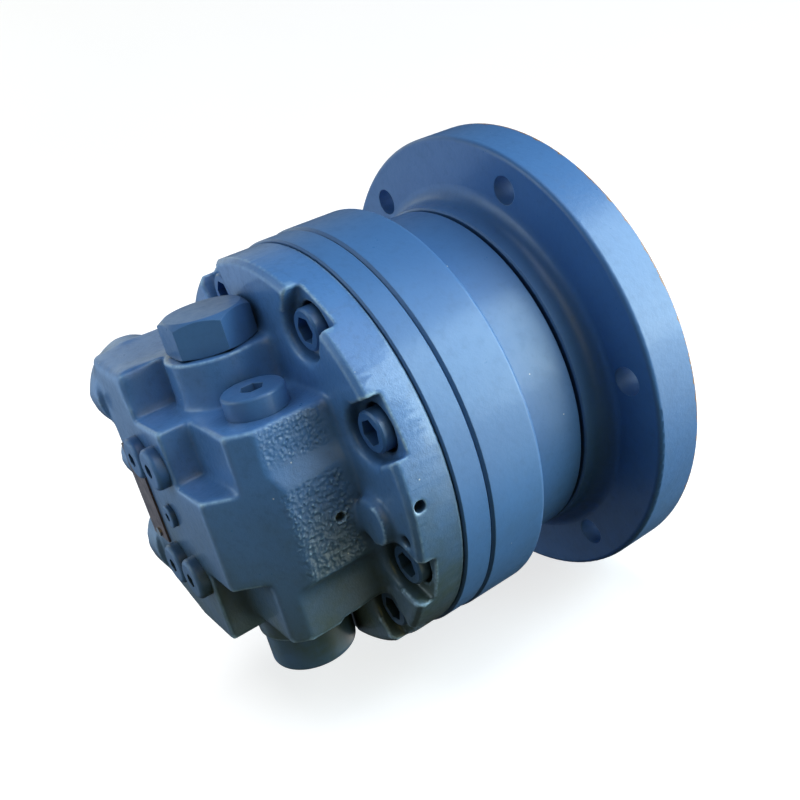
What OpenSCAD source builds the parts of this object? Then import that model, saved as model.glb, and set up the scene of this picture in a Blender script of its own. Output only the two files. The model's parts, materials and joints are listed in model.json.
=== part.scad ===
// Hydraulic drive motor: a cam-ring motor with radial pistons and a cast valve housing.
// X is the shaft axis and points to the output end. Z is the spool axis and points up.
// The origin is the centre of the mounting flange's mating face. Lengths are in millimetres.

/* [Mounting flange] */
// Outer diameter of the flange plate
flange_d = 300; // [290:1:330]
// Thickness of the flange plate
flange_t = 32; // [26:1:40]
// Distance of the fixing holes' circle from the flange's edge
flange_hole_edge = 20; // [15:1:22]
// Diameter of the fixing holes
flange_hole_d = 17.5; // [11:0.5:20]
// Number of fixing holes
flange_holes = 6; // [4:1:10]
// Angle of the first fixing hole, from the top towards the front
flange_clock = 26.4; // [0:0.1:60]
// Diameter of the boss behind the flange plate
flange_boss_d = 222; // [216:1:232]
// Length of the boss behind the flange plate
flange_boss_len = 19; // [14:1:26]
// Radius of the fillet between plate and boss
flange_fillet = 10; // [4:1:12]
// Diameter of the pilot on the mating face
pilot_d = 220; // [214:1:230]
// Height of the pilot on the mating face
pilot_h = 8; // [5:1:12]
// Number of screws between flange and front housing
flange_screws_n = 8; // [6:1:10]
// Distance of these screws' circle from the edge of the boss
flange_screw_edge = 15; // [14:0.5:17]

/* [Front housing] */
// How far the case stands out beyond the cam ring's collar
case_rise = 1; // [0.5:0.5:3]
// Diameter of the turned neck
neck_d = 220; // [216:1:228]
// Length of the turned neck
neck_len = 44; // [40:1:52]
// Length of the case behind the neck
case_len = 38; // [36:1:46]
// Chamfer on the rear edge of the case
case_chamfer = 4; // [1:0.5:6]
// Width of the dark joint gap between flange boss and neck
joint_gap = 2; // [1:0.5:4]
// Depth of the joint gap
joint_depth = 6; // [3:0.5:7]

/* [Cam ring] */
// Length of the cam ring's outer collar
collar_len = 18; // [14:1:22]
// How far the collar stands out beyond the rim
collar_rise = 1.5; // [0.5:0.5:3]
// How far the cam ring's inner body enters each housing
spigot_len = 9; // [7:1:10]
// Mean wall of the cam ring's inner body
cam_wall = 9.5; // [8:0.5:11]
// Half of the cam lift
cam_half_lift = 3; // [1.5:0.25:4]
// Number of cam lobes
cam_lobes = 6; // [4:1:8]

/* [Pistons] */
// Diameter of a piston
piston_d = 34; // [32:0.5:35]
// Radius at which a retracted piston ends inside
piston_foot_r = 48; // [47.5:0.5:52]
// Diameter of a cam roller
roller_d = 22; // [20:0.5:23]
// Length of a cam roller
roller_len = 24; // [18:0.5:24]

/* [Valve housing] */
// Outer diameter of the round rim
rim_d = 248; // [244:1:256]
// Length of the round rim
rim_len = 29; // [26:1:34]
// Length of the cast block behind the rim
block_len = 77; // [72:1:88]
// Distance of the block's front side from the shaft axis
block_front = 76; // [72:1:80]
// Distance of the block's rear side from the shaft axis
block_rear = 70; // [66:1:76]
// Height of the lower step above the shaft axis
step_z = 55; // [52:1:60]
// Height of the spool boss above the shaft axis
boss_top = 83; // [80:1:88]
// Depth of the block's under side below the shaft axis
block_low = 79; // [76:1:84]
// Depth of the front part's under side below the shaft axis
front_low = 71; // [60:1:75]
// Depth of the lower spool boss below the shaft axis
boss_low = 98; // [92:1:102]
// Distance of the spool axis behind the rim
spool_from_rim = 25; // [24:1:28]
// Radius of the spool boss
boss_r = 29; // [28:0.5:31]
// Radius of the lobes that carry the main ports
lobe_r = 28.5; // [26:0.5:30]
// How far the lobes stand out from the block's rear side
lobe_out = 14; // [10:1:18]
// Radius of the lobe that carries the case drain port
drain_lobe_r = 17; // [15:0.5:18]

/* [Housing screws] */
// Thread diameter of the housing screws
screw_d = 16; // [12:1:16]
// Distance of the housing screws' circle from the rim's edge
screw_edge = 18; // [17:0.5:19]
// Length of the housing screws under the head
screw_len = 50; // [44:1:54]
// Angles of the housing screws, from the top towards the front
screw_angles = [-20.5, 34.4, 69.6, 113.7, 143, 217, 246.3, 290.4];
// Width of the pocket round each screw head
pocket_w = 34; // [30:1:38]

/* [Spool and valves] */
// Diameter of the spool
spool_d = 32; // [28:1:32]
// Travel of the spool to each side
spool_travel = 7; // [3:0.5:8]
// Size across flats of the upper hexagon plug
plug_flats = 46; // [41:1:50]
// Height of the upper hexagon plug
plug_h = 21; // [16:1:26]
// Diameter of the lower, round plug
low_plug_d = 54; // [48:1:56]
// Height of the lower plug
low_plug_h = 24; // [18:1:26]
// Diameter of the relief valve cap
relief_cap_d = 35; // [30:1:38]
// Height of the relief valve cap
relief_cap_h = 12; // [9:1:16]
// Diameter of a gallery plug's head
gallery_head_d = 25; // [20:1:27]
// Diameter of the main ports
port_d = 33; // [26:1:34]
// Diameter of the case drain port
drain_d = 18; // [14:1:20]

/* [Shaft] */
// Length of the shaft beyond the mating face
shaft_out = 55; // [40:1:60]
// Diameter over the output spline
spline_d = 60; // [54:1:60]
// Number of teeth on the output spline
spline_teeth = 22; // [16:1:28]
// Radius of the shaft in its bearings
journal_r = 33; // [32:0.5:34]

/* [Fits] */
// Radial clearance of a sliding or running fit
run_gap = 0.04; // [0.02:0.01:0.08]
// Radial clearance of a locating fit
fit_gap = 0.05; // [0.02:0.01:0.08]
// Clearance between free moving pieces
free_gap = 0.3; // [0.2:0.05:0.5]

/* [Hidden] */
$fn = 64;
eps = 1;
pistons = 8;

// Places along the shaft axis
x_plate = -flange_t;
x_boss = x_plate - flange_boss_len;
x_neck = x_boss - joint_gap;
x_case = x_neck - neck_len;
x_collar = x_case - case_len;
x_rim = x_collar - collar_len;
x_block = x_rim - rim_len;
x_end = x_block - block_len;
x_piston = (x_collar + x_rim) / 2;
x_spool = x_block - spool_from_rim;

// Flange screws: place, thread, head and counterbore
flange_screw_r = flange_boss_d / 2 - flange_screw_edge;
flange_screw_d = 12;
flange_screw_head_d = 18;
flange_screw_head_h = 12;
flange_screw_seat = -5;
flange_screw_grip = 22;
flange_screw_len = -x_boss + flange_screw_grip;

// Radii shared by neighbouring pieces
rim_r = rim_d / 2;
collar_r = rim_r + collar_rise;
case_r = collar_r + case_rise;
neck_r = neck_d / 2;
screw_r = rim_r - screw_edge;
screw_gap = 0.75;
spigot_wall = 1.5;
spigot_r = screw_r - screw_d / 2 - spigot_wall;
cam_mean_r = spigot_r - cam_wall;
cavity_wall = 9.5;
cavity_r = spigot_r - cavity_wall;
nose_wall = 4;
nose_r = flange_screw_r - flange_screw_d / 2 - nose_wall;
nose_end = -6;
neck_fillet = min(5, case_r - neck_r - 3);

// Housing screws: the pocket floor is the seat of the heads
screw_head_d = 1.5 * screw_d;
screw_head_h = screw_d;
screw_seat_wall = 9;
x_screw_seat = x_rim - screw_seat_wall;
x_pocket = x_screw_seat - 10;

// Cam, cylinder block and pistons
crest_r = cam_mean_r - cam_half_lift;
block_r = crest_r - 2;
block_w = piston_d + 6;
block_x0 = x_piston - block_w / 2;
block_x1 = x_piston + block_w / 2;
roller_rest_r = crest_r - free_gap - roller_d / 2;
piston_head_r = roller_rest_r + 3;
piston_clock = 7.5;
port_hole_r = 4;
port_hole_circle_r = piston_foot_r - 1;

// Taper bearings: all cones share one apex
bearing_pitch_r = 46.5;
bearing_angle = 13;
taper_angle = 2;
taper_len = 17;
taper_count = 16;
cup_r = 60;
bearing_gap = 0.1;
apex = -bearing_pitch_r / tan(bearing_angle);
cone_big = 13;
cone_small = -12;
cup_big = 10;
cup_small = -11;
rib_start = 10.3;

// Shaft: the bearings lie on both sides of the housing shoulder
x_flange_shaft = block_x1 + 6.5;
x_inner_bearing = x_flange_shaft + cone_big;
x_shoulder_in = x_inner_bearing - cup_small;
x_outer_bearing = -44;
x_shoulder_out = x_outer_bearing + cup_small;
x_nut = x_outer_bearing + cone_big;
nut_len = 9;
nut_r = 46;
shaft_thread_r = 7;
shaft_thread_len = 36;
shaft_seal_r = journal_r - 2;
shaft_flange_r = 44;
block_spline_r = 33.4;
block_spline_root = 31;
block_spline_teeth = 24;

// Seal carrier in the nose of the front housing, and the space round the shaft before it
carrier_r = 62;
carrier_len = 10;
carrier_x1 = nose_end - 5;
snap_t = 2;
seal_r = 44;
seal_len = 8;
hub_space_r = carrier_r + 4;

// Distributor steps: radius and rear end of each, with the place of the seal groove on it
dist_x0 = block_x0 - fit_gap;
dist_step = [[56, 11], [50, 18], [42, 23]];
dist_groove = [9, 16.7, 21];
dist_groove_w = 1.8;
dist_groove_depth = 2.5;
dist_end = dist_x0 - dist_step[2][1];
dist_slack = 0.5;
dist_bore_r = 18;
dist_port_r = 4.5;
dist_port_depth = [5, 13];
dist_ports = 2 * cam_lobes;
dist_spring_r = 30;
dist_spring_depth = 8;
dist_spring_hole_r = 3.5;
dist_pin_r = 2.45;
dist_pin_depth = 6;

// Spool, its plugs and springs
spool_r = spool_d / 2;
plug_clock = 28;
plug_key = 22;
spool_mid = (boss_top - boss_low) / 2;
spool_half = 44;
seat_t = 4;
plug_thread_r = 21;
plug_thread_len = 22;
low_plug_gap = 1;
plug_bore_r = 14;
spool_spring_end = boss_top - plug_thread_len + 8;
plug_chamfer_r = plug_flats / sqrt(3) + 1.5;

// Relief valve, measured from the step that carries the cap
relief_x = x_spool - 4;
relief_y = boss_r + relief_cap_d / 2 + 0.6;
relief_bore_r = 12;
relief_hole_r = 4;
relief_shank = 15;
relief_spring_top = -3;
relief_spring_bottom = -13;
relief_poppet_r = 7;
relief_seat_top = -28;
relief_seat_len = 9;

// Gallery plugs and nameplate on the end face
gallery_at = [11.5, -3.5];
gallery_y = 14;
gallery_z = 35.5;
gallery_head_h = 7;
gallery_r = 8;
plate_w = 25;
plate_h = 62;
plate_t = 1.2;
plate_y = 51.5;
rivet_z = 27;

// Cast block: chamfer in plan, textured band of the front side, recesses at the end face
chamfer_y = 50;
chamfer_x = 36;
rear_chamfer = 3;
band_top = 20;
band_low = -36;
band_side = block_front + 2;
upper_side = block_front - 2;
lower_side = block_front - 5;
pocket_x = 18;
pocket_y = 18;
pocket_floor = 22;
pocket_roof = -33;
top_slope = 4;
low_slope = 14;
low_slope_y = 25;

// Port lobes on the rear side
lobe_x = x_end + lobe_r - 4;
lobe_face = block_rear + lobe_out;
lobe_root = plate_y + plate_w / 2 + 1.5;
lobe_z = [boss_top + top_slope - lobe_r + 0.5, -block_low + lobe_r + 3.5];
port_depth = 22;
port_passage = 28;
port_passage_r = port_d / 2 - 4;
drain_x = x_end + drain_lobe_r - 1.5;
drain_z = 16;
drain_face = lobe_face - 6;
drain_depth = 16;
drain_passage = 30;
drain_passage_r = 4;

// Small holes of the rim and the low boss on its rear face
rim_hole_r = 3.4;
rim_boss_r = 14;
rim_boss_in = 32;

// Colours
paint = [0.36, 0.53, 0.69];
machined = [0.72, 0.74, 0.77];
dark_steel = [0.35, 0.36, 0.38];
bronze = [0.72, 0.55, 0.30];
seal_black = [0.10, 0.10, 0.11];
plate_brown = [0.45, 0.36, 0.30];

// A solid turned about the shaft axis; the section has radius along X and place along Y
module turned() { rotate([0, 90, 0]) rotate_extrude() children(); }

// A cylinder along the shaft axis, from x0 to x1
module rod(x0, x1, r) { translate([x0, 0, 0]) rotate([0, 90, 0]) cylinder(h = x1 - x0, r = r); }

// A rectangle of a turned section
module band(r0, r1, x0, x1) { translate([r0, x0]) square([r1 - r0, x1 - x0]); }

// What a chamfer takes from the outer corner of a turned section; side is +1 or -1 along the axis
module chamfer_cut(r, x, c, side) {
    polygon([[r - c, x], [r, x - side * c], [r + eps, x - side * c], [r + eps, x + side], [r - c, x + side]]);
}

// What a radius takes from the outer corner of a turned section
module round_cut(r, x, c, side) {
    translate([r - c, side > 0 ? x - c : x]) difference() {
        square([c + eps, c]);
        translate([0, side > 0 ? 0 : c]) circle(r = c);
    }
}

// A fillet in the concave corner above radius r, on one side of the place x
module fillet_band(r, x, c, side) {
    translate([r, side > 0 ? x : x - c]) difference() {
        square([c, c]);
        translate([c, side > 0 ? c : 0]) circle(r = c);
    }
}

// Puts a piece at an angle and radius round the shaft axis, with Z pointing outwards
module around(angle, radius) { rotate([angle, 0, 0]) translate([0, 0, radius]) children(); }

// Repeats a piece round the shaft axis
module ring_of(count, radius, clock = 0) {
    for (i = [0 : count - 1]) around(clock + i * 360 / count, radius) children();
}

// A hexagon prism along Z with the given size across flats
module hexagon(flats, h) { cylinder(h = h, r = flats / sqrt(3), $fn = 6); }

// A socket-head screw; the head's seat is at the origin and the shank points along +X
module socket_screw(d, len, head_d, head_h) {
    difference() {
        turned() difference() {
            union() {
                band(0, head_d / 2, -head_h, 0);
                band(0, d / 2 - fit_gap, 0, len);
            }
            chamfer_cut(head_d / 2, -head_h, d / 14, -1);
            chamfer_cut(d / 2 - fit_gap, len, d / 10, 1);
        }
        translate([-head_h - eps, 0, 0]) rotate([0, 90, 0]) hexagon(0.85 * d, 0.5 * head_h + eps);
    }
}

// A coil spring along Z from z0 to z1, as a swept round wire
module coil_spring(z0, z1, coil_r, wire_r, turns, sides = 6, per_turn = 12) {
    steps = turns * per_turn;
    rise = (z1 - z0 - 2 * wire_r) / steps;
    points = [for (i = [0 : steps], j = [0 : sides - 1])
        let (a = i * 360 / per_turn, b = j * 360 / sides, r = coil_r + wire_r * cos(b))
        [r * cos(a), r * sin(a), z0 + wire_r + i * rise + wire_r * sin(b)]];
    tube = [for (i = [0 : steps - 1], j = [0 : sides - 1])
        let (a = i * sides + j, b = i * sides + (j + 1) % sides)
        [a, b, b + sides, a + sides]];
    start = [[for (j = [sides - 1 : -1 : 0]) j]];
    end = [[for (j = [0 : sides - 1]) steps * sides + j]];
    polyhedron(points, concat(tube, start, end));
}

// An O-ring about the Z axis
module o_ring(r, section) { rotate_extrude() translate([r, 0]) circle(r = section); }

// The outline of a straight-sided spline
module spline_outline(tip_r, root_r, teeth, grow = 0) {
    pitch = 360 / teeth;
    polygon([for (i = [0 : teeth - 1], k = [0 : 3])
        let (side = k < 2 ? -1 : 1, outer = k == 1 || k == 2,
             half = pitch * (outer ? 0.17 : 0.29) + grow * 57.3 / tip_r,
             r = (outer ? tip_r : root_r) + grow)
        r * [cos(i * pitch + side * half), sin(i * pitch + side * half)]]);
}

module mounting_flange() color(paint) difference() {
    turned() difference() {
        union() {
            band(nose_r + fit_gap, flange_d / 2, x_plate, 0);
            band(nose_r + fit_gap, flange_boss_d / 2, x_boss, x_plate);
            fillet_band(flange_boss_d / 2, x_plate, flange_fillet, -1);
            band(hub_space_r, pilot_d / 2, nose_end + fit_gap, pilot_h);
        }
        round_cut(flange_d / 2, x_plate, 3, -1);
        chamfer_cut(flange_d / 2, 0, 2, 1);
        chamfer_cut(flange_boss_d / 2, x_boss, 1, -1);
        chamfer_cut(pilot_d / 2, pilot_h, 1, 1);
    }
    ring_of(flange_holes, flange_d / 2 - flange_hole_edge, flange_clock) rod(x_plate - eps, eps, flange_hole_d / 2);
    ring_of(flange_screws_n, flange_screw_r) {
        rod(x_boss - eps, pilot_h + eps, flange_screw_d / 2 + 0.5);
        rod(flange_screw_seat, pilot_h + eps, flange_screw_head_d / 2 + 1);
    }
}

module flange_screws() color(dark_steel) ring_of(flange_screws_n, flange_screw_r)
    translate([flange_screw_seat, 0, 0]) mirror([1, 0, 0])
    socket_screw(flange_screw_d, flange_screw_len, flange_screw_head_d, flange_screw_head_h);

module front_housing() color(paint) difference() {
    turned() difference() {
        union() {
            band(0, case_r, x_collar, x_case);
            band(0, neck_r, x_case, x_neck);
            band(0, neck_r - joint_depth, x_neck, x_boss);
            band(0, nose_r, x_boss, nose_end);
            fillet_band(neck_r, x_case, neck_fillet, 1);
        }
        chamfer_cut(case_r, x_collar, case_chamfer, -1);
        round_cut(case_r, x_case, 3, 1);
        chamfer_cut(neck_r, x_neck, 1, 1);
        chamfer_cut(nose_r, nose_end, 1, 1);
        band(0, spigot_r + fit_gap, x_collar - eps, x_collar + spigot_len + 0.5);
        band(0, cavity_r, x_collar, block_x1 + 3);
        band(0, cup_r + fit_gap, x_collar, x_shoulder_in);
        band(0, cup_r - 8, x_collar, nose_end + eps);
        band(0, cup_r + fit_gap, x_shoulder_out, nose_end + eps);
        band(0, carrier_r + fit_gap, carrier_x1 - carrier_len, nose_end + eps);
        band(0, carrier_r + 2, carrier_x1, carrier_x1 + snap_t + fit_gap);
    }
    for (a = screw_angles) around(a, screw_r) rod(x_collar - eps, x_screw_seat + screw_len + 2, screw_d / 2);
    ring_of(flange_screws_n, flange_screw_r)
        rod(flange_screw_seat - flange_screw_len - 2, x_boss + eps, flange_screw_d / 2);
}

module cam_track() {
    samples = 24 * cam_lobes;
    polygon([for (i = [0 : samples - 1])
        let (a = i * 360 / samples, r = cam_mean_r - cam_half_lift * cos(a * cam_lobes))
        r * [cos(a), sin(a)]]);
}

module cam_ring() color(paint) difference() {
    turned() difference() {
        union() {
            band(0, collar_r, x_rim, x_collar);
            band(0, spigot_r, x_rim - spigot_len, x_collar + spigot_len);
        }
        chamfer_cut(collar_r, x_rim, 1, -1);
        chamfer_cut(collar_r, x_collar, 1, 1);
        for (side = [-1, 1]) translate([0, x_piston + side * (collar_len / 2 + spigot_len / 2)])
            band(spigot_r - 2.2, spigot_r + eps, -1.5, 1.5);
    }
    translate([x_rim - spigot_len - eps, 0, 0]) rotate([0, 90, 0])
        linear_extrude(collar_len + 2 * (spigot_len + eps)) rotate(180) cam_track();
    for (a = screw_angles) around(a, screw_r) rod(x_rim - eps, x_collar + eps, screw_d / 2 + screw_gap);
}

module housing_o_rings() color(seal_black) {
    for (side = [-1, 1]) translate([x_piston + side * (collar_len / 2 + spigot_len / 2), 0, 0])
        rotate([0, 90, 0]) o_ring(spigot_r - 1.05, 1.05);
    translate([carrier_x1 - 5, 0, 0]) rotate([0, 90, 0]) o_ring(carrier_r - 1.05, 1.05);
}

// The cast block behind the rim, before it is drilled
module block_plan() {
    polygon([[x_end, -chamfer_y], [x_end + chamfer_x, -band_side], [x_block + eps, -band_side],
        [x_block + eps, block_rear], [x_end + rear_chamfer, block_rear], [x_end, block_rear - rear_chamfer]]);
}

module block_side() {
    polygon([[-upper_side, step_z], [-upper_side, band_top + 11], [-band_side, band_top],
        [-band_side, band_low], [-lower_side, band_low - 5], [-lower_side, -front_low],
        [-pocket_y, -front_low], [-pocket_y, -block_low], [low_slope_y, -block_low],
        [block_rear, -block_low + low_slope], [block_rear, boss_top + top_slope], [boss_r + 2, boss_top],
        [pocket_y, boss_top], [pocket_y, step_z]]);
}

module cast_block() difference() {
    union() {
        intersection() {
            translate([0, 0, -block_low - eps])
                linear_extrude(boss_top + top_slope + block_low + 2 * eps) block_plan();
            translate([x_end - eps, 0, 0]) rotate([90, 0, 90]) linear_extrude(block_len + 2 * eps + 1) block_side();
        }
        translate([x_spool, 0, 0]) cylinder(h = boss_top, r = boss_r);
        translate([x_spool, -boss_r + 3, 0]) cube([x_block + eps - x_spool, boss_r + 15, boss_top]);
        translate([x_spool, 0, -boss_low]) cylinder(h = boss_low, r = boss_r);
        for (z = lobe_z) translate([lobe_x, lobe_root, z])
            rotate([-90, 0, 0]) cylinder(h = lobe_face - lobe_root, r = lobe_r);
        translate([drain_x, lobe_root, drain_z])
            rotate([-90, 0, 0]) cylinder(h = drain_face - lobe_root, r = drain_lobe_r);
        around(98, rim_r - rim_boss_in) rod(x_block - 7, x_block + eps, rim_boss_r);
    }
    for (z = [pocket_floor, pocket_roof - block_low]) translate([x_end - eps, -block_front - 10, z])
        cube([pocket_x + eps, block_front + 10 - pocket_y, block_low]);
}

// The pocket round a screw head, open to the rim's edge
module screw_pocket() {
    rod(x_block - 30, x_pocket, pocket_w / 2);
    translate([x_block - 10, -pocket_w / 2, 0]) cube([x_pocket - x_block + 10, pocket_w, 40]);
    rod(x_block, x_screw_seat, screw_head_d / 2 + 2);
    rod(x_screw_seat - eps, x_rim + eps, screw_d / 2 + screw_gap);
}

module valve_housing() color(paint) difference() {
    union() {
        turned() difference() {
            band(0, rim_r, x_block, x_rim);
            chamfer_cut(rim_r, x_block, 3, -1);
            chamfer_cut(rim_r, x_rim, 1, 1);
        }
        cast_block();
    }
    turned() {
        band(0, spigot_r + fit_gap, x_rim - spigot_len - 0.5, x_rim + eps);
        band(0, cavity_r, block_x0 - 1, x_rim);
        for (s = dist_step) band(0, s[0] + fit_gap, dist_x0 - s[1] - dist_slack, x_rim);
    }
    ring_of(2, dist_spring_r, 45) rod(dist_end - dist_slack - dist_pin_depth - 0.5, dist_end, dist_pin_r + fit_gap);
    for (a = screw_angles) around(a, screw_r) screw_pocket();
    translate([x_spool, 0, -boss_low - eps]) cylinder(h = boss_top + boss_low + 2 * eps, r = spool_r);
    translate([x_spool, 0, boss_top - plug_thread_len - 1]) cylinder(h = plug_thread_len + 2, r = plug_thread_r);
    translate([x_spool, 0, -boss_low - 1]) cylinder(h = plug_thread_len + 2, r = plug_thread_r);
    translate([x_spool, 0, -rim_r - eps]) cylinder(h = rim_r + eps - boss_low, r = low_plug_d / 2 + low_plug_gap);
    at_relief() relief_bore();
    at_gallery_plugs() rod(x_end - eps, x_end + 14, gallery_r);
    translate([0, gallery_at[0], gallery_at[1]]) rod(x_end - eps, x_end + 11, 5);
    for (z = lobe_z) translate([lobe_x, lobe_face, z])
        port_hole(port_d / 2, port_depth, port_passage_r, port_passage);
    translate([drain_x, drain_face, drain_z]) port_hole(drain_d / 2, drain_depth, drain_passage_r, drain_passage);
    for (z = [-rivet_z, rivet_z]) translate([0, plate_y, z]) rod(x_end - eps, x_end + 6, 2);
    around(90, rim_r - 12) translate([x_block + 7, 0, 0]) cylinder(h = 13, r = rim_hole_r);
    around(101, rim_r - 11) rod(x_block - eps, x_block + 12, rim_hole_r);
}

// A port in a face towards +Y: the thread's hole and the passage behind it
module port_hole(r, depth, passage_r, passage) rotate([90, 0, 0]) {
    translate([0, 0, -eps]) cylinder(h = depth + eps, r = r);
    cylinder(h = depth + passage, r = passage_r);
}

module housing_screws() color(dark_steel) for (a = screw_angles) around(a, screw_r)
    translate([x_screw_seat, 0, 0]) socket_screw(screw_d, screw_len, screw_head_d, screw_head_h);

// Puts the relief valve on the lower step
module at_relief() { translate([relief_x, -relief_y, step_z]) children(); }

module relief_bore() {
    translate([0, 0, relief_seat_top - relief_seat_len]) cylinder(h = 60, r = relief_bore_r);
    translate([0, 0, relief_seat_top - relief_seat_len - 12]) cylinder(h = 20, r = relief_hole_r);
}

module relief_cap() color(paint) at_relief() difference() {
    rotate_extrude() difference() {
        union() {
            square([relief_cap_d / 2, relief_cap_h]);
            translate([0, -relief_shank]) square([relief_bore_r - fit_gap, relief_shank]);
        }
        translate([relief_cap_d / 2 - 2, relief_cap_h - 2]) difference() {
            square(3);
            circle(r = 2);
        }
        translate([0, -relief_shank - eps]) square([relief_poppet_r + run_gap, relief_shank + eps + relief_spring_top]);
    }
    translate([0, 0, relief_cap_h - 6]) hexagon(12, 7);
}

module relief_seat() color(machined) at_relief() rotate_extrude() difference() {
    translate([0, relief_seat_top - relief_seat_len]) square([relief_bore_r - fit_gap, relief_seat_len]);
    translate([0, relief_seat_top - relief_seat_len - eps]) square([relief_hole_r, relief_seat_len + 2 * eps]);
    translate([0, relief_seat_top]) polygon([[0, -6], [relief_hole_r, -2], [6, 0], [6, eps], [0, eps]]);
}

module relief_poppet() color(machined) at_relief() rotate_extrude() {
    nose = relief_seat_top + free_gap * 1.4;
    polygon([[0, nose - 3], [3, nose - 3], [relief_poppet_r, nose + 1], [relief_poppet_r, relief_spring_bottom],
        [0, relief_spring_bottom]]);
}

module relief_spring() color(dark_steel) at_relief()
    coil_spring(relief_spring_bottom, relief_spring_top, relief_poppet_r - 1.6, 1, 4);

module seal_carrier() color(machined) turned() difference() {
    band(shaft_seal_r + 6, carrier_r, carrier_x1 - carrier_len, carrier_x1);
    band(0, seal_r, carrier_x1 - seal_len, carrier_x1 + eps);
    band(carrier_r - 2.2, carrier_r + eps, carrier_x1 - 6.5, carrier_x1 - 3.5);
}

module shaft_seal() color(seal_black) turned() {
    band(seal_r - 2, seal_r - fit_gap, carrier_x1 - seal_len, carrier_x1);
    band(shaft_seal_r + 3, seal_r - 2, carrier_x1 - 2, carrier_x1);
    polygon([[shaft_seal_r + run_gap, carrier_x1 - seal_len + 3], [shaft_seal_r + 4, carrier_x1 - seal_len],
        [shaft_seal_r + 6, carrier_x1 - seal_len], [shaft_seal_r + 6, carrier_x1], [shaft_seal_r + 2, carrier_x1]]);
}

module snap_ring() color(dark_steel) difference() {
    turned() band(carrier_r - 4, carrier_r + 1.8, carrier_x1 + fit_gap / 2, carrier_x1 + snap_t);
    around(0, carrier_r) cube([60, 14, 20], center = true);
}

// Taper bearing pieces about the shaft axis, with the big end towards +X and the middle at the origin
module bearing_cup() color(machined) turned()
    polygon([for (p = [[cup_small, 0], [cup_big, 0], [cup_big, 1], [cup_small, 1]])
        [p[1] == 0 ? (p[0] - apex) * tan(bearing_angle + taper_angle) + bearing_gap : cup_r, p[0]]]);

module bearing_cone() color(machined) turned() {
    track_small = (cone_small - apex) * tan(bearing_angle - taper_angle) - bearing_gap;
    track_rib = (rib_start - apex) * tan(bearing_angle - taper_angle) - bearing_gap;
    polygon([[journal_r + fit_gap, cone_small], [journal_r + fit_gap, cone_big], [track_rib + 3.5, cone_big],
        [track_rib + 3.5, rib_start], [track_rib, rib_start], [track_small, cone_small]]);
}

module taper_roller(grow = 0) {
    mid_r = bearing_pitch_r / sin(bearing_angle) * tan(taper_angle);
    slope = tan(taper_angle) * taper_len / 2;
    rotate([0, 90 - bearing_angle, 0]) translate([0, 0, -taper_len / 2 - grow])
        cylinder(h = taper_len + 2 * grow, r1 = mid_r - slope + grow, r2 = mid_r + slope + grow);
}

module bearing_rollers() color(dark_steel) ring_of(taper_count, bearing_pitch_r) taper_roller();

module bearing_cage() color(bronze) difference() {
    turned() translate([bearing_pitch_r, 0]) rotate(-bearing_angle)
        translate([-1, -taper_len / 2 - 2.5]) square([2, taper_len + 5]);
    ring_of(taper_count, bearing_pitch_r) taper_roller(free_gap);
}

module at_inner_bearing() { translate([x_inner_bearing, 0, 0]) mirror([1, 0, 0]) children(); }
module at_outer_bearing() { translate([x_outer_bearing, 0, 0]) children(); }

module bearing_lock_nut() color(dark_steel) difference() {
    turned() difference() {
        band(journal_r - 1 + fit_gap, nut_r, x_nut, x_nut + nut_len);
        chamfer_cut(nut_r, x_nut + nut_len, 1, 1);
    }
    ring_of(4, nut_r) translate([x_nut + nut_len / 2, 0, 0]) cube([nut_len + 2, 6, 6], center = true);
}

module output_shaft() color(machined) difference() {
    union() {
        turned() difference() {
            union() {
                band(0, shaft_flange_r, block_x1, x_flange_shaft);
                band(0, journal_r, x_flange_shaft, x_nut);
                band(0, journal_r - 1, x_nut, x_nut + nut_len);
                band(0, shaft_seal_r, x_nut + nut_len, 0);
                band(0, spline_d / 2 - 3, 0, shaft_out);
            }
            chamfer_cut(spline_d / 2 - 3, shaft_out, 2, 1);
        }
        translate([block_x0 + 1, 0, 0]) rotate([0, 90, 0])
            linear_extrude(block_w - 1) spline_outline(block_spline_r, block_spline_root, block_spline_teeth);
        rotate([0, 90, 0])
            linear_extrude(shaft_out - 3) spline_outline(spline_d / 2, spline_d / 2 - 3, spline_teeth);
    }
    rod(shaft_out - shaft_thread_len, shaft_out + eps, shaft_thread_r);
}

module cylinder_block() color(machined) difference() {
    turned() difference() {
        band(0, block_r, block_x0, block_x1);
        chamfer_cut(block_r, block_x0, 1, -1);
        chamfer_cut(block_r, block_x1, 1, 1);
    }
    translate([block_x0 - eps, 0, 0]) rotate([0, 90, 0])
        linear_extrude(block_w + 2 * eps) spline_outline(block_spline_r, block_spline_root, block_spline_teeth, 0.12);
    ring_of(pistons, piston_foot_r - 2, piston_clock) translate([x_piston, 0, 0])
        cylinder(h = block_r, r = piston_d / 2 + run_gap);
    ring_of(pistons, port_hole_circle_r, piston_clock) rod(block_x0 - eps, block_x0 + 6, port_hole_r);
}

module at_piston(n) { around(piston_clock + (n - 1) * 360 / pistons, 0) translate([x_piston, 0, 0]) children(); }

module piston(n) color(machined) at_piston(n) difference() {
    translate([0, 0, piston_foot_r]) cylinder(h = piston_head_r - piston_foot_r, r = piston_d / 2);
    translate([0, 0, roller_rest_r]) rod(-piston_d, piston_d, roller_d / 2 + run_gap);
    translate([0, 0, piston_foot_r - eps]) cylinder(h = 9 + eps, r = piston_d / 2 - 7);
}

module cam_roller(n) color(dark_steel) at_piston(n) translate([0, 0, roller_rest_r])
    turned() difference() {
        band(0, roller_d / 2, -roller_len / 2, roller_len / 2);
        chamfer_cut(roller_d / 2, roller_len / 2, 0.8, 1);
        chamfer_cut(roller_d / 2, -roller_len / 2, 0.8, -1);
    }

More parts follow.
